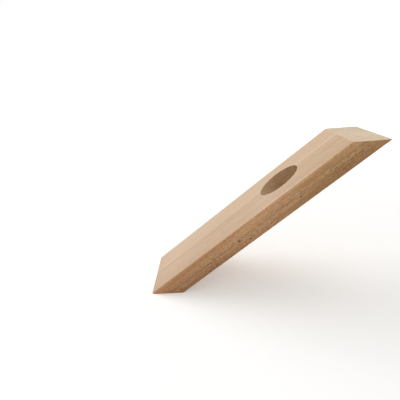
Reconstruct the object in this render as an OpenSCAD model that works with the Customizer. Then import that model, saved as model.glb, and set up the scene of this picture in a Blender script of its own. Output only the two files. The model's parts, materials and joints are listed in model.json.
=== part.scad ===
// Balancing wine bottle holder: a leaning board of two beech staves, glued edge to edge, sawn level
// at the foot and at the raised end, and bored through at a slant.
// The origin is the centre of the foot. +Z is up, +X runs level the way the board leans,
// and +Y runs across the board to its rear edge.

/* [Board] */
// Thickness, square to the upper face (mm)
board_thickness = 19; // [16:0.5:30]
// Length of the upper face, from saw cut to saw cut (mm)
board_length = 230; // [210:1:300]
// Lean of the board, up from the table (degrees)
lean_angle = 37; // [33:0.5:45]
// Radius of the outer long edges of the upper face (mm)
upper_edge_radius = 2.5; // [0.5:0.25:6]
// Radius of the outer long edges of the underside (mm)
lower_edge_radius = 0.5; // [0.25:0.25:4]

/* [Staves] */
// Width of the front stave, from its outer edge to the glue joint (mm)
front_stave_width = 37; // [30:0.5:45]
// Width of the rear stave, from the glue joint to its outer edge (mm)
rear_stave_width = 35; // [30:0.5:45]

/* [Neck bore] */
// Diameter of the bore (mm)
bore_diameter = 34; // [30:0.5:38]
// Fall of the bore towards the raised end, below level (degrees)
bore_dip = 16; // [8:0.5:24]
// Middle of the bore on the upper face, measured up the face from the foot (mm)
bore_distance = 163; // [130:1:175]

/* [Hidden] */
$fn = 96;

// Tones of the two staves
front_colour = "#bf9670";
rear_colour = "#c7a37c";

// Board: its rise above the table, the length of its foot and where its glue joint lies
rise = board_length * sin(lean_angle);
foot_length = board_thickness / sin(lean_angle);
board_width = front_stave_width + rear_stave_width;
glue_y = front_stave_width - board_width / 2;

// Extra length of the blank at each end, so that both saw cuts go right through it
overrun = board_thickness / tan(lean_angle);
// Reach of the saw cuts, past the blank on every side
saw_span = 4 * (board_length + board_width);

// Bore: where its axis meets the upper face, and a length that goes well past both faces
bore_x = bore_distance * cos(lean_angle) - foot_length / 2;
bore_z = bore_distance * sin(lean_angle);
bore_reach = 2 * (board_thickness + bore_diameter) / sin(lean_angle + bore_dip);

// Half of a stave's section: square at the glue joint, rounded along the outer edge
module half_section(width, radius) {
    half = board_thickness / 2;
    square([half - radius, width]);
    square([half, width - radius]);
    translate([half - radius, width - radius])
        circle(r = radius);
}

// Section of a stave, with the upper face on its -X side
module stave_section(width) {
    mirror([1, 0])
        half_section(width, upper_edge_radius);
    half_section(width, lower_edge_radius);
}

// Leaning bar of one section, cut level at the foot and at the raised end
module sawn_bar() {
    intersection() {
        rotate([0, 90 - lean_angle, 0])
            translate([0, 0, -overrun])
                linear_extrude(board_length + 2 * overrun)
                    children();
        linear_extrude(rise)
            square(saw_span, center = true);
    }
}

module neck_bore() {
    translate([bore_x, 0, bore_z])
        rotate([0, 90 + bore_dip, 0])
            cylinder(h = bore_reach, d = bore_diameter, center = true);
}

// One stave on its side of the glue joint, with its share of the bore
module stave() {
    difference() {
        translate([0, glue_y, 0])
            sawn_bar()
                children();
        neck_bore();
    }
}

module front_stave() {
    color(front_colour)
        stave()
            mirror([0, 1])
                stave_section(front_stave_width);
}

module rear_stave() {
    color(rear_colour)
        stave()
            stave_section(rear_stave_width);
}

front_stave();
rear_stave();
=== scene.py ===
import json
import math

import bmesh
import bpy
from mathutils import Euler, Matrix, Vector


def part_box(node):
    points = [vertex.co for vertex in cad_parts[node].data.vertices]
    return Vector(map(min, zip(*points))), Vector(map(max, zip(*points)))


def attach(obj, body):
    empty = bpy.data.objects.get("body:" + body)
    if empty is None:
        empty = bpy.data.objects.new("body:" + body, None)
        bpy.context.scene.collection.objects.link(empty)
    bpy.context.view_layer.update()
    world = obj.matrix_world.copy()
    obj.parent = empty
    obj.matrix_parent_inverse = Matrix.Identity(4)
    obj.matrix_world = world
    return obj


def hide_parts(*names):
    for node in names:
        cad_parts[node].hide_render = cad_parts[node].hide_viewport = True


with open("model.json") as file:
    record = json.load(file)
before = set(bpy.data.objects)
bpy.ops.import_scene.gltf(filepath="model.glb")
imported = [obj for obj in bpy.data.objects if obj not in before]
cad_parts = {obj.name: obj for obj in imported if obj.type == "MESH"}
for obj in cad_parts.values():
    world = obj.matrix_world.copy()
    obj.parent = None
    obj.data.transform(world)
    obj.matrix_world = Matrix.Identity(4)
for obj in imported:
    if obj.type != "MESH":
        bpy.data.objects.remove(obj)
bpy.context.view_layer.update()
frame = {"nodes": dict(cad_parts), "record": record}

mm = 0.001
print("frame loaded:", sorted(frame["nodes"]))


# The board that the two staves make up, with its main sizes read from the frame

board = {
    "lean": math.radians(37),           # slope above the table
    "blankSpare": 3,                    # extra length of the blank, in lengths of the foot
    "upperRadius": 2.5 * mm,            # long outer edges of the upper face
    "upperSteps": 9,
    "lowerRadius": 0.5 * mm,            # long outer edges of the underside
    "lowerSteps": 5,
    "sawnEase": 0.3 * mm,               # edges of the two saw cuts, just broken with paper
    "sawnSteps": 4,
    "smoothBelow": math.radians(45),    # edges that turn by less are shaded smooth
    "touch": 0.004 * mm,                # how near counts as on a plane
    "jointTouch": 0.0005 * mm,          # the same for the cut at the glue joint
    "weld": 0.001 * mm,                 # points nearer than this become one
}

frontLow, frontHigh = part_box("front_stave")
_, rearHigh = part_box("rear_stave")
rise = frontHigh.z
glueY = frontHigh.y
boardLength = rise / math.sin(board["lean"])
footLength = frontHigh.x - frontLow.x - boardLength * math.cos(board["lean"])
boardThickness = footLength * math.sin(board["lean"])
upSlope = Vector((math.cos(board["lean"]), 0, math.sin(board["lean"])))
offFace = Vector((-math.sin(board["lean"]), 0, math.cos(board["lean"])))
boardMiddle = upSlope * boardLength / 2

neckMount = next(mount for mount in frame["record"]["mounts"] if mount["name"] == "neck_bore")

bore = {
    "middle": Vector(neckMount["pos_m"]),
    "axis": Vector(neckMount["axis"]).normalized(),
    "radius": neckMount["dims"]["r_mm"] * mm,
    "drillLength": 120 * mm,
    "sides": 160,
    "rimEase": 0.6 * mm,                # rims eased by hand
    "rimSteps": 4,
}


# Small helpers for modelling

def clearSelection():
    if bpy.context.object and bpy.context.object.mode != "OBJECT":
        bpy.ops.object.mode_set(mode="OBJECT")
    bpy.ops.object.select_all(action="DESELECT")


def workOn(piece):
    clearSelection()
    piece.select_set(True)
    bpy.context.view_layer.objects.active = piece


def editAll(piece):
    workOn(piece)
    bpy.ops.object.mode_set(mode="EDIT")
    bpy.ops.mesh.select_all(action="SELECT")


def pickEdges(piece, wanted):
    workOn(piece)
    bpy.ops.object.mode_set(mode="EDIT")
    bpy.ops.mesh.select_mode(type="EDGE")
    bpy.ops.mesh.select_all(action="DESELECT")
    shape = bmesh.from_edit_mesh(piece.data)
    count = 0
    for edge in shape.edges:
        if wanted(edge.verts[0].co, edge.verts[1].co):
            edge.select_set(True)
            count += 1
    bmesh.update_edit_mesh(piece.data)
    return count


def roundPicked(width, steps):
    bpy.ops.mesh.bevel(offset_type="OFFSET", offset=width, segments=steps, profile=0.5,
                       affect="EDGES", clamp_overlap=False)
    bpy.ops.object.mode_set(mode="OBJECT")


def near(value, target):
    return abs(value - target) < board["touch"]


def heightOnBoard(point):
    return offFace.dot(point)           # 0 in the middle plane, half the thickness on the upper face


def onWideFace(point):
    return near(abs(heightOnBoard(point)), boardThickness / 2)


def fromBoreAxis(point):
    away = point - bore["middle"]
    return (away - bore["axis"] * away.dot(bore["axis"])).length


# Staves

def addBlank(name):
    # as wide as the whole board, so that the rims of the bore are whole rings when they are eased
    clearSelection()
    blankLength = boardLength + board["blankSpare"] * footLength    # past both saw cuts
    bpy.ops.mesh.primitive_cube_add(
        size=1,
        location=boardMiddle + Vector((0, (frontLow.y + rearHigh.y) / 2, 0)),
        rotation=(0, -board["lean"], 0),
        scale=(blankLength, rearHigh.y - frontLow.y, boardThickness))
    blank = bpy.context.object
    blank.name = name
    blank.data.name = name
    bpy.ops.object.transform_apply(location=True, rotation=True, scale=True)
    return blank


def sawLevel(stave):
    editAll(stave)
    bpy.ops.mesh.bisect(plane_co=(0, 0, 0), plane_no=(0, 0, 1), use_fill=True, clear_inner=True)
    bpy.ops.mesh.select_all(action="SELECT")
    bpy.ops.mesh.bisect(plane_co=(0, 0, rise), plane_no=(0, 0, 1), use_fill=True, clear_outer=True)
    bpy.ops.object.mode_set(mode="OBJECT")


def roundLongEdge(stave, outerY, height, radius, steps):
    def alongOuterEdge(a, b):
        runsUp = abs(a.z - b.z) > rise / 2
        return runsUp and all(near(p.y, outerY) and near(heightOnBoard(p), height) for p in (a, b))
    picked = pickEdges(stave, alongOuterEdge)
    roundPicked(radius, steps)
    return picked


def drillBore(stave):
    clearSelection()
    bpy.ops.mesh.primitive_cylinder_add(
        vertices=bore["sides"], radius=bore["radius"], depth=bore["drillLength"],
        location=bore["middle"], rotation=bore["axis"].to_track_quat("Z", "Y").to_euler())
    drill = bpy.context.object
    workOn(stave)
    bpy.ops.object.modifier_add(type="BOOLEAN")
    cut = stave.modifiers[-1]
    cut.operation = "DIFFERENCE"
    cut.solver = "EXACT"
    cut.object = drill
    bpy.ops.object.modifier_apply(modifier=cut.name)
    bpy.data.objects.remove(drill)


def easeRims(stave):
    def onRim(a, b):
        sameFace = near(heightOnBoard(a), heightOnBoard(b))
        return sameFace and all(onWideFace(p) and near(fromBoreAxis(p), bore["radius"]) for p in (a, b))
    picked = pickEdges(stave, onRim)
    roundPicked(bore["rimEase"], bore["rimSteps"])
    return picked


def easeSawnEdges(stave):
    def onSawCut(a, b):
        return (near(a.z, 0) and near(b.z, 0)) or (near(a.z, rise) and near(b.z, rise))
    picked = pickEdges(stave, onSawCut)
    roundPicked(board["sawnEase"], board["sawnSteps"])
    return picked


def trimAtJoint(stave, outerY):
    # what lies past the glue joint comes off last, and the other stave has it
    editAll(stave)
    bpy.ops.mesh.bisect(plane_co=(0, glueY, 0), plane_no=(0, 1, 0), use_fill=True,
                        threshold=board["jointTouch"],
                        clear_outer=outerY < glueY, clear_inner=outerY > glueY)
    bpy.ops.object.mode_set(mode="OBJECT")


def smoothStave(stave):
    editAll(stave)
    bpy.ops.mesh.remove_doubles(threshold=board["weld"])
    bpy.ops.mesh.normals_make_consistent(inside=False)
    bpy.ops.object.mode_set(mode="OBJECT")
    bpy.ops.object.shade_smooth_by_angle(angle=board["smoothBelow"])
    bpy.ops.object.modifier_add(type="WEIGHTED_NORMAL")
    flat = stave.modifiers[-1]
    flat.keep_sharp = True
    bpy.ops.object.modifier_apply(modifier=flat.name)


def makeStave(name, node, outerY):
    half = boardThickness / 2
    stave = addBlank(name)
    sawLevel(stave)
    upper = roundLongEdge(stave, outerY, half, board["upperRadius"], board["upperSteps"])
    lower = roundLongEdge(stave, outerY, -half, board["lowerRadius"], board["lowerSteps"])
    drillBore(stave)
    rims = easeRims(stave)
    sawn = easeSawnEdges(stave)
    trimAtJoint(stave, outerY)
    smoothStave(stave)
    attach(stave, "root")
    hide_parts(node)
    print(name, "long edges", upper + lower, "rim edges", rims, "sawn edges", sawn,
          "faces", len(stave.data.polygons))
    return stave


# Node helpers for the beech

def tone(red, green, blue):
    # a colour as a picture editor shows it, 0 to 255, turned to Blender's linear values
    def linear(level):
        level /= 255
        return level / 12.92 if level <= 0.04045 else ((level + 0.055) / 1.055) ** 2.4
    return (linear(red), linear(green), linear(blue), 1)


def addNode(tree, kind, **settings):
    node = tree.nodes.new(kind)
    for name, value in settings.items():
        setattr(node, name, value)
    return node


def feed(tree, node, socket, source):
    if isinstance(source, bpy.types.NodeSocket):
        tree.links.new(source, node.inputs[socket])
    else:
        node.inputs[socket].default_value = source


def mapped(tree, source, location=(0, 0, 0), rotation=(0, 0, 0), scale=(1, 1, 1)):
    # the scale acts first, then the turn, then the shift
    node = addNode(tree, "ShaderNodeMapping")
    feed(tree, node, "Vector", source)
    feed(tree, node, "Location", location)
    feed(tree, node, "Rotation", rotation)
    feed(tree, node, "Scale", scale)
    return node.outputs["Vector"]


def noise(tree, source, scale, detail=1, roughness=0.5, turn=0):
    node = addNode(tree, "ShaderNodeTexNoise")
    feed(tree, node, "Vector", mapped(tree, source, rotation=(0, 0, turn), scale=scale))
    feed(tree, node, "Scale", 1)
    feed(tree, node, "Detail", detail)
    feed(tree, node, "Roughness", roughness)
    return node.outputs["Fac"]


def cells(tree, source, scale, flat=False):
    node = addNode(tree, "ShaderNodeTexVoronoi", voronoi_dimensions="2D" if flat else "3D")
    feed(tree, node, "Vector", mapped(tree, source, scale=scale))
    feed(tree, node, "Scale", 1)
    return node.outputs["Distance"], axes(tree, node.outputs["Color"])


def spread(tree, source, band, ends, smooth=False):
    # from the band's two values to the two ends, and no further
    node = addNode(tree, "ShaderNodeMapRange", interpolation_type="SMOOTHSTEP" if smooth else "LINEAR")
    feed(tree, node, "Value", source)
    feed(tree, node, "From Min", band[0])
    feed(tree, node, "From Max", band[1])
    feed(tree, node, "To Min", ends[0])
    feed(tree, node, "To Max", ends[1])
    return node.outputs["Result"]


def calc(tree, operation, first, second=0):
    node = addNode(tree, "ShaderNodeMath", operation=operation)
    feed(tree, node, 0, first)
    feed(tree, node, 1, second)
    return node.outputs["Value"]


def product(tree, first, *others):
    for other in others:
        first = calc(tree, "MULTIPLY", first, other)
    return first


def blendColour(tree, share, first, second, mode="MIX"):
    node = addNode(tree, "ShaderNodeMix", data_type="RGBA", blend_type=mode)
    feed(tree, node, "Factor", share)
    feed(tree, node, 6, first)
    feed(tree, node, 7, second)
    return node.outputs[2]


def axes(tree, source):
    node = addNode(tree, "ShaderNodeSeparateXYZ")
    feed(tree, node, "Vector", source)
    return node.outputs["X"], node.outputs["Y"], node.outputs["Z"]


# Places on the board where the finish or the painted light and shade differs, each as a share from 0 to
# 1

fades = {
    "sawn": (0.35 * mm, 0.1 * mm),      # in from a saw cut
    "bore": (0.05 * mm, 0.5 * mm),      # out from the bore's wall
    "side": (1.6 * mm, 0.3 * mm),       # in from a side
    "underside": 0.05 * mm,             # up from the underside, where a side's finish starts
    "edgeShadeIn": (0, 0.4),                  # over the rounded edge, 0 at the face and 1 at the side
    "edgeShadeOut": (0.55, 0.95),
    "edgeShadeDown": 0.2,                     # off the middle plane, in thicknesses
    "glue": (0.03 * mm, 0.09 * mm),     # out from the joint
}


def sawnShare(tree, height):
    fromMiddle = calc(tree, "ABSOLUTE", calc(tree, "SUBTRACT", height, rise / 2))
    band = [rise / 2 - inset for inset in fades["sawn"]]
    return spread(tree, fromMiddle, band, (0, 1), smooth=True)


def boreShare(tree, alongBore):
    _, second, third = axes(tree, alongBore)
    squared = calc(tree, "ADD", product(tree, second, second), product(tree, third, third))
    fromAxis = calc(tree, "SQRT", squared)
    band = [bore["radius"] + outset for outset in fades["bore"]]
    return spread(tree, fromAxis, band, (1, 0), smooth=True)


def sideShare(tree, fromMiddle, offMiddle, unsawn):
    # the two sides, where the rays are cut end on, short of the underside and the saw cuts
    sideBand = [rearHigh.y - inset for inset in fades["side"]]
    onSide = spread(tree, fromMiddle, sideBand, (0, 1), smooth=True)
    lowBand = [up - boardThickness / 2 for up in (fades["underside"], board["lowerRadius"])]
    above = spread(tree, offMiddle, lowBand, (0, 1), smooth=True)
    return product(tree, onSide, above, unsawn)


def edgeShadeShare(tree, fromMiddle, offMiddle, unsawn):
    # the rounded long edges of the upper face, darkened across the middle of their turn: painted shade
    turn = spread(tree, fromMiddle, (rearHigh.y - board["upperRadius"], rearHigh.y), (0, 1))
    fadeIn = spread(tree, turn, fades["edgeShadeIn"], (0, 1), smooth=True)
    fadeOut = spread(tree, turn, fades["edgeShadeOut"], (1, 0), smooth=True)
    above = spread(tree, offMiddle, (0, fades["edgeShadeDown"] * boardThickness), (0, 1))
    return product(tree, fadeIn, fadeOut, above, unsawn)


def glueShare(tree, across):
    fromJoint = calc(tree, "ABSOLUTE", calc(tree, "SUBTRACT", across, glueY))
    return spread(tree, fromJoint, fades["glue"], (1, 0), smooth=True)


# Beech under a clear satin lacquer: what the two staves share

beech = {
    # patterns, in repeats a metre along the grain, towards the heart and along the rings
    "fibres": {"scale": (11, 420, 420), "detail": 5, "roughness": 0.62},
    "streaks": {"scale": (9, 290, 290), "detail": 2},
    "drift": {"scale": (6, 45, 45), "detail": 3},
    "pores": {"scale": (260, 5200, 5200), "detail": 2, "roughness": 0.6},
    "rays": (200, 40, 850),
    "fineRays": (340, 40, 1300),
    "rayCrowds": {"scale": (20, 40, 80)},
    "mottle": {"scale": (260, 60, 950)},
    "specks": (24, 48, 1),              # up the board, off its face
    "sanding": {"scale": (90, 3200, 90), "turn": 0.2},      # along x, y and z
    "drillRings": {"scale": (1600, 25, 25)},                # along the bore and across it
    "ringStretch": (0.05, 1, 1),
    "ringWander": 5,
    "ringDetail": 2,
    "ringDetailScale": 0.35,
    # the band of each pattern that shows
    "ringBand": (0.3, 0.95),
    "driftBand": (0.34, 0.66),
    "fibreBand": (0.32, 0.66),
    "streakBand": (0.34, 0.62),
    "rayBand": (0.16, 0.48),
    "rayPick": (0.4, 0.95),             # leaves out the rays with the lowest random number
    "fineRayBand": (0.2, 0.55),
    "fineRayLeast": 0.1,
    "crowdBand": (0.38, 0.62),
    "crowdLeast": 0.4,
    "mottleBand": (0.36, 0.64),
    "speckBand": (0.02, 0.045),
    "speckPick": (0.35, 0.8),
    # how strongly each shows, by the place on the board
    "faceGrain": 0.55,                  # calmer on the two wide faces
    "faceStreaks": 0.15,
    "faceRays": 0.15,
    "upperRays": 0.4,                   # rays crowd the lower half of a side
    "raysDown": (0.35, -0.1),           # off the middle plane, in thicknesses
    # bands of the painted light and shade on the sides: lighter along the top, darker down to the
    # underside, near the foot and near the raised end
    "sideShadeZone": (0.45, -0.1),
    "footShadeZone": (0.18, 0.5),            # up the board, in board lengths
    "topShadeZone": (0.54, 0.88),
    # painted shade across the middle of the rounded upper edges
    "edgePaintedShade": (0.85, 0.84, 0.83, 1),
    # darker in the bore: partly the drilled end grain, partly painted shade
    "boreGrainAndShade": (0.80, 0.78, 0.76, 1),
    "glueLine": 0.6,
    # wood and lacquer
    "roughness": 0.45,
    "roughSpread": 0.05,
    "roughBand": (0.3, 0.7),
    "boreRoughness": 0.15,              # added in the bore
    "lacquer": 1,
    "sideLacquer": 0.5,
    "sawnLacquer": 0.6,                 # end grain drinks it in
    "boreLacquer": 0.35,
    "lacquerRoughness": 0.2,
    # heights of the relief, before its depth
    "fibreRelief": 0.5,
    "poreRelief": 0.5,
    "rayRelief": 0.15,
    "sandingRelief": 0.5,
    "drillRelief": 0.9,
    "reliefStrength": 0.35,
    "reliefDepth": 0.1 * mm,
}


def findPlaces(tree, plan):
    place = addNode(tree, "ShaderNodeTexCoord").outputs["Object"]
    # onBoard has x up the slope and z off the face
    onBoard = mapped(tree, place, rotation=(0, board["lean"], 0))
    # fromHeart has x up the slope, y towards the heart and z along the rings
    fromHeart = mapped(tree, onBoard, location=(plan["start"], -plan["heartDistance"], 0),
                       rotation=(-plan["heartTurn"], 0, 0))
    boreTurn = math.atan2(bore["axis"].z, -bore["axis"].x)
    alongBore = mapped(tree, mapped(tree, place, location=-bore["middle"]), rotation=(0, -boreTurn, 0))
    _, across, height = axes(tree, place)
    upBoard, _, offMiddle = axes(tree, onBoard)
    fromMiddle = calc(tree, "ABSOLUTE", across)
    sawn = sawnShare(tree, height)
    unsawn = calc(tree, "SUBTRACT", 1, sawn)
    return {
        "place": place, "onBoard": onBoard, "fromHeart": fromHeart, "alongBore": alongBore,
        "upBoard": upBoard, "offMiddle": offMiddle,
        "sawn": sawn,
        "bored": boreShare(tree, alongBore),
        "side": sideShare(tree, fromMiddle, offMiddle, unsawn),
        "edgeShade": edgeShadeShare(tree, fromMiddle, offMiddle, unsawn),
        "glue": glueShare(tree, across),
    }


def inThicknesses(pair):
    return [share * boardThickness for share in pair]


def inLengths(pair):
    return [share * boardLength for share in pair]


def growRings(tree, plan, at):
    # rings round the heart, each darkening to its late wood
    nodeSpacing = 2 * math.pi / 20      # of the wave node's own rings
    wave = addNode(tree, "ShaderNodeTexWave",
                   wave_type="RINGS", rings_direction="X", wave_profile="SAW")
    feed(tree, wave, "Vector", mapped(tree, at["fromHeart"], scale=beech["ringStretch"]))
    feed(tree, wave, "Scale", nodeSpacing / plan["ringSpacing"])
    feed(tree, wave, "Distortion", beech["ringWander"])
    feed(tree, wave, "Detail", beech["ringDetail"])
    feed(tree, wave, "Detail Scale", beech["ringDetailScale"])
    return spread(tree, wave.outputs["Fac"], beech["ringBand"], (0, 1), smooth=True)


def growRays(tree, plan, at, rayShare):
    # rays are thin ribbons that point at the heart: dashes, flakes or lines by the cut
    fromRay, rayTint = cells(tree, at["fromHeart"], beech["rays"])
    dashes = spread(tree, fromRay, beech["rayBand"], (1, 0), smooth=True)
    dashes = product(tree, dashes, spread(tree, rayTint[0], beech["rayPick"], (0, 1)))
    fromFineRay, fineTint = cells(tree, at["fromHeart"], beech["fineRays"])
    fine = spread(tree, fromFineRay, beech["fineRayBand"], (plan["fineRays"], 0), smooth=True)
    fine = product(tree, fine, spread(tree, fineTint[0], (0, 1), (beech["fineRayLeast"], 1)))
    crowding = noise(tree, at["fromHeart"], **beech["rayCrowds"])
    crowded = spread(tree, crowding, beech["crowdBand"], (beech["crowdLeast"], 1))
    shown = spread(tree, rayShare, (0, 1), (beech["faceRays"], 1))
    return product(tree, calc(tree, "MAXIMUM", dashes, fine), crowded, shown)


def growSpecks(tree, plan, at, rayShare):
    sideOn = mapped(tree, at["onBoard"], location=(plan["start"], 0, 0), rotation=(-math.pi / 2, 0, 0))
    fromSpeck, speckTint = cells(tree, sideOn, beech["specks"], flat=True)
    specks = spread(tree, fromSpeck, beech["speckBand"], (1, 0), smooth=True)
    return product(tree, specks, spread(tree, speckTint[1], beech["speckPick"], (0, 1)), rayShare)


def growWood(tree, plan, at):
    downSide = inThicknesses(beech["raysDown"])
    lower = spread(tree, at["offMiddle"], downSide, (beech["upperRays"], 1), smooth=True)
    rayShare = product(tree, at["side"], lower)
    mottle = noise(tree, at["fromHeart"], **beech["mottle"])
    mottle = spread(tree, mottle, beech["mottleBand"], (0, plan["mottleDepth"]))
    return {
        "rings": growRings(tree, plan, at),
        "fibres": noise(tree, at["fromHeart"], **beech["fibres"]),
        "streaks": noise(tree, at["fromHeart"], **beech["streaks"]),
        "drift": noise(tree, at["fromHeart"], **beech["drift"]),
        "pores": noise(tree, at["fromHeart"], **beech["pores"]),
        "rays": growRays(tree, plan, at, rayShare),
        "mottle": product(tree, mottle, at["side"]),
        "specks": growSpecks(tree, plan, at, rayShare),
    }


def colourGrain(tree, plan, at, wood):
    cutAcross = calc(tree, "MAXIMUM", calc(tree, "MAXIMUM", at["side"], at["sawn"]), at["bored"])
    strength = spread(tree, cutAcross, (0, 1), (beech["faceGrain"], 1))
    drift = spread(tree, wood["drift"], beech["driftBand"], (0, 1))
    colour = blendColour(tree, drift, plan["pale"], plan["warm"])
    rings = product(tree, wood["rings"], plan["ringDepth"], strength)
    colour = blendColour(tree, rings, colour, plan["late"])
    fibres = spread(tree, wood["fibres"], beech["fibreBand"], (plan["fibreDepth"], 0))
    colour = blendColour(tree, product(tree, fibres, strength), colour, plan["dark"])
    streakDepth = spread(tree, at["side"], (0, 1), (beech["faceStreaks"], plan["sideStreaks"]))
    streaks = spread(tree, wood["streaks"], beech["streakBand"], (1, 0))
    colour = blendColour(tree, product(tree, streaks, streakDepth), colour, plan["dark"])
    colour = blendColour(tree, wood["mottle"], colour, plan["dark"])
    colour = blendColour(tree, product(tree, wood["rays"], plan["rayDepth"]), colour, plan["mark"])
    return blendColour(tree, product(tree, wood["specks"], plan["speckDepth"]), colour, plan["speck"])


def tintPlaces(tree, plan, at, colour):
    # painted light and shade on the sides: lighter along their top and darker down to the underside,
    # darker near the foot, darker and yellower near the raised end
    sideShadeShare = spread(tree, at["offMiddle"], inThicknesses(beech["sideShadeZone"]), (0, 1), smooth=True)
    side = blendColour(tree, sideShadeShare, plan["paintedLightSideTop"], plan["paintedLightSideLow"])
    footShadeZone = spread(tree, at["upBoard"], inLengths(beech["footShadeZone"]), (1, 0), smooth=True)
    side = blendColour(tree, footShadeZone, side, plan["footPaintedShade"], mode="MULTIPLY")
    topShadeZone = spread(tree, at["upBoard"], inLengths(beech["topShadeZone"]), (0, 1), smooth=True)
    side = blendColour(tree, topShadeZone, side, plan["topPaintedShade"], mode="MULTIPLY")
    colour = blendColour(tree, at["side"], colour, side, mode="MULTIPLY")
    # the middle of the rounded upper edges darkened: painted shade
    colour = blendColour(tree, at["edgeShade"], colour, beech["edgePaintedShade"], mode="MULTIPLY")
    # the saw cuts made paler and greyer: painted light and sheen
    colour = blendColour(tree, at["sawn"], colour, plan["sawnPaintedLight"], mode="MULTIPLY")
    # darker in the bore: partly the drilled end grain, partly painted shade
    colour = blendColour(tree, at["bored"], colour, beech["boreGrainAndShade"], mode="MULTIPLY")
    return blendColour(tree, product(tree, at["glue"], beech["glueLine"]), colour, plan["speck"])


def lacquerWood(tree, shader, at, wood):
    # the wood itself is matt, and the lacquer is what shines
    ends = (beech["roughness"] + beech["roughSpread"], beech["roughness"] - beech["roughSpread"])
    rough = spread(tree, wood["fibres"], beech["roughBand"], ends)
    rough = calc(tree, "ADD", rough, product(tree, at["bored"], beech["boreRoughness"]))
    tree.links.new(rough, shader.inputs["Roughness"])
    feed(tree, shader, "Specular IOR Level", 0)
    film = spread(tree, at["side"], (0, 1), (beech["lacquer"], beech["sideLacquer"]))
    film = spread(tree, at["sawn"], (0, 1), (film, beech["sawnLacquer"]))
    film = product(tree, film, spread(tree, at["bored"], (0, 1), (1, beech["boreLacquer"])))
    tree.links.new(film, shader.inputs["Coat Weight"])
    feed(tree, shader, "Coat Roughness", beech["lacquerRoughness"])


def raiseRelief(tree, shader, at, wood):
    # fibres and pores, sanding marks on the saw cuts, drill rings in the bore
    relief = calc(tree, "ADD", product(tree, wood["fibres"], beech["fibreRelief"]),
                  product(tree, wood["pores"], beech["poreRelief"]))
    relief = calc(tree, "SUBTRACT", relief, product(tree, wood["rays"], beech["rayRelief"]))
    sanding = noise(tree, at["place"], **beech["sanding"])
    relief = calc(tree, "ADD", relief, product(tree, sanding, at["sawn"], beech["sandingRelief"]))
    drillRings = noise(tree, at["alongBore"], **beech["drillRings"])
    relief = calc(tree, "ADD", relief, product(tree, drillRings, at["bored"], beech["drillRelief"]))
    bump = addNode(tree, "ShaderNodeBump")
    feed(tree, bump, "Strength", beech["reliefStrength"])
    feed(tree, bump, "Distance", beech["reliefDepth"])
    feed(tree, bump, "Height", relief)
    tree.links.new(bump.outputs["Normal"], shader.inputs["Normal"])


def makeBeech(plan):
    material = bpy.data.materials.new(plan["material"])
    material.use_nodes = True
    tree = material.node_tree
    shader = tree.nodes["Principled BSDF"]
    at = findPlaces(tree, plan)
    wood = growWood(tree, plan, at)
    colour = tintPlaces(tree, plan, at, colourGrain(tree, plan, at, wood))
    tree.links.new(colour, shader.inputs["Base Color"])
    lacquerWood(tree, shader, at, wood)
    raiseRelief(tree, shader, at, wood)
    print(plan["material"], "made with", len(tree.nodes), "nodes")
    return material


# The two staves: what each is, its tones, factors on those tones by place (painted light and shade),
# and its own grain

frontStave = {
    "name": "frontStave",
    "node": "front_stave",
    "slot": "beech_front",
    "material": "beechFront",
    "outerY": frontLow.y,
    "pale": tone(210, 175, 134),
    "warm": tone(203, 163, 120),
    "late": tone(172, 126, 86),
    "dark": tone(150, 104, 64),
    "mark": tone(110, 60, 18),
    "speck": tone(104, 46, 8),
    # painted light and shade on the sides: lighter along the top, darker down to the underside and near
    # the foot, darker and yellower near the raised end
    "paintedLightSideTop": (1.42, 1.40, 1.47, 1),
    "paintedLightSideLow": (1.19, 1.215, 1.26, 1),
    "footPaintedShade": (0.85, 0.805, 0.77, 1),
    "topPaintedShade": (0.86, 0.88, 0.78, 1),
    # the saw cuts paler and greyer: painted light and sheen
    "sawnPaintedLight": (1.29, 1.53, 1.75, 1),
    "ringSpacing": 2.6 * mm,
    "ringDepth": 0.28,
    "fibreDepth": 0.4,
    "sideStreaks": 0.66,
    "rayDepth": 1,
    "fineRays": 0.9,
    "mottleDepth": 0.5,
    "speckDepth": 0.9,
    "heartDistance": 64 * mm,           # from the middle of the board
    "heartTurn": math.radians(-13),     # up from the rear edge
    "start": 2.53,                      # where along its tree the stave was cut
}

rearStave = {
    "name": "rearStave",
    "node": "rear_stave",
    "slot": "beech_rear",
    "material": "beechRear",
    "outerY": rearHigh.y,
    "pale": tone(215, 182, 142),
    "warm": tone(209, 172, 130),
    "late": tone(184, 140, 102),
    "dark": tone(164, 120, 80),
    "mark": tone(130, 78, 26),
    "speck": tone(116, 56, 8),
    # painted light and shade on the sides: lighter along the top, darker down to the underside and near
    # the foot, darker and yellower near the raised end
    "paintedLightSideTop": (1.22, 1.18, 1.14, 1),
    "paintedLightSideLow": (1.02, 0.98, 0.9, 1),
    "footPaintedShade": (0.94, 0.89, 0.83, 1),
    "topPaintedShade": (0.92, 0.91, 0.84, 1),
    # the saw cuts paler and greyer: painted light and sheen
    "sawnPaintedLight": (1.11, 1.25, 1.4, 1),
    "ringSpacing": 3.1 * mm,
    "ringDepth": 0.26,
    "fibreDepth": 0.34,
    "sideStreaks": 0.45,
    "rayDepth": 0.95,
    "fineRays": 0.8,
    "mottleDepth": 0.4,
    "speckDepth": 0.85,
    "heartDistance": 92 * mm,
    "heartTurn": math.radians(-152),
    "start": 3.79,
}

for plan in (frontStave, rearStave):
    piece = makeStave(plan["name"], plan["node"], plan["outerY"])
    piece.data.materials.append(makeBeech(plan))


# Floor, background and light

stage = {
    "floorSize": 8,
    "floorColour": tone(240, 239, 237),
    "floorRoughness": 0.9,
    "floorLift": 0.25,                  # added to the floor near the board as the camera sees it
    "liftReach": (0.3, 1.2),            # from the foot, where the lift starts to grow and is full
    "white": 1,                         # strength at which the background is white
    "ambient": 0.55,                    # soft light from all round
}

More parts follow.
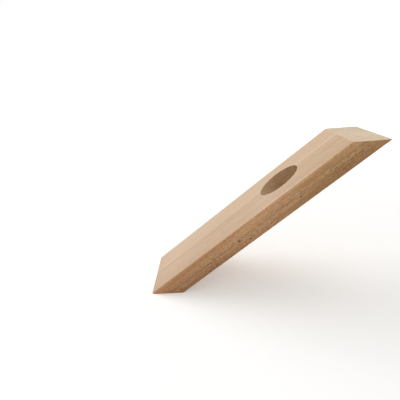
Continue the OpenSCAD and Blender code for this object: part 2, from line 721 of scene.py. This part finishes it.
topSoftbox = {
    "name": "topSoftbox",
    "place": (-1.0, 1.0, 1.35),
    "size": (2.0, 1.6),
    "watts": 21.5,
}

frontFill = {
    "name": "frontFill",
    "place": (0.35, -1.2, 0.7),
    "size": (1.0, 0.8),
    "watts": 2.4,
}


def makeFloor():
    clearSelection()
    bpy.ops.mesh.primitive_plane_add(size=stage["floorSize"], location=(0, 0, 0))
    floor = bpy.context.object
    floor.name = "floor"
    material = bpy.data.materials.new("paleFloor")
    material.use_nodes = True
    tree = material.node_tree
    shader = tree.nodes["Principled BSDF"]
    feed(tree, shader, "Base Color", stage["floorColour"])
    feed(tree, shader, "Roughness", stage["floorRoughness"])
    feed(tree, shader, "Specular IOR Level", 0)
    place = addNode(tree, "ShaderNodeTexCoord").outputs["Object"]
    distance = addNode(tree, "ShaderNodeVectorMath", operation="LENGTH")
    feed(tree, distance, 0, place)
    ends = (stage["floorLift"], stage["white"])
    lift = spread(tree, distance.outputs["Value"], stage["liftReach"], ends, smooth=True)
    rays = addNode(tree, "ShaderNodeLightPath")
    seen = calc(tree, "MAXIMUM", rays.outputs["Is Camera Ray"], rays.outputs["Is Glossy Ray"])
    feed(tree, shader, "Emission Color", (1, 1, 1, 1))
    tree.links.new(product(tree, seen, lift), shader.inputs["Emission Strength"])
    floor.data.materials.append(material)


def makeWorld():
    world = bpy.data.worlds.new("studio")
    bpy.context.scene.world = world
    world.use_nodes = True
    tree = world.node_tree
    sky = tree.nodes["Background"]
    feed(tree, sky, "Color", (1, 1, 1, 1))
    rays = addNode(tree, "ShaderNodeLightPath")
    seen = calc(tree, "MAXIMUM", rays.outputs["Is Camera Ray"], rays.outputs["Is Glossy Ray"])
    seen = calc(tree, "MAXIMUM", seen, rays.outputs["Is Transmission Ray"])
    strength = spread(tree, seen, (0, 1), (stage["ambient"], stage["white"]))
    tree.links.new(strength, sky.inputs["Strength"])


def addSoftbox(softbox):
    clearSelection()
    bpy.ops.object.light_add(type="AREA", location=softbox["place"])
    lamp = bpy.context.object
    lamp.name = softbox["name"]
    lamp.rotation_euler = (boardMiddle - Vector(softbox["place"])).to_track_quat("-Z", "Y").to_euler()
    lamp.data.shape = "RECTANGLE"
    lamp.data.size, lamp.data.size_y = softbox["size"]
    lamp.data.energy = softbox["watts"]


makeFloor()
makeWorld()
addSoftbox(topSoftbox)
addSoftbox(frontFill)
print("floor, world and softboxes set")


# Camera, at the photograph's viewing angle

shot = {
    "place": Vector((52.8, -307.6, 198.5)) * mm,
    "turnLeft": math.radians(2.872),    # away from +Y
    "tiltDown": math.radians(20.612),
    "roll": math.radians(-4.589),
    "lens": 29.783,
    "sensor": 36,
    "clipStart": 10 * mm,
}


def addCamera():
    clearSelection()
    bpy.ops.object.camera_add(location=shot["place"])
    camera = bpy.context.object
    level = Euler((math.pi / 2 - shot["tiltDown"], 0, shot["turnLeft"])).to_matrix()
    camera.rotation_euler = (level @ Matrix.Rotation(shot["roll"], 3, "Z")).to_euler()
    camera.data.sensor_width = shot["sensor"]
    camera.data.lens = shot["lens"]
    camera.data.clip_start = shot["clipStart"]
    bpy.context.scene.camera = camera


addCamera()
bpy.context.scene.view_settings.view_transform = "Standard"
print("camera placed")
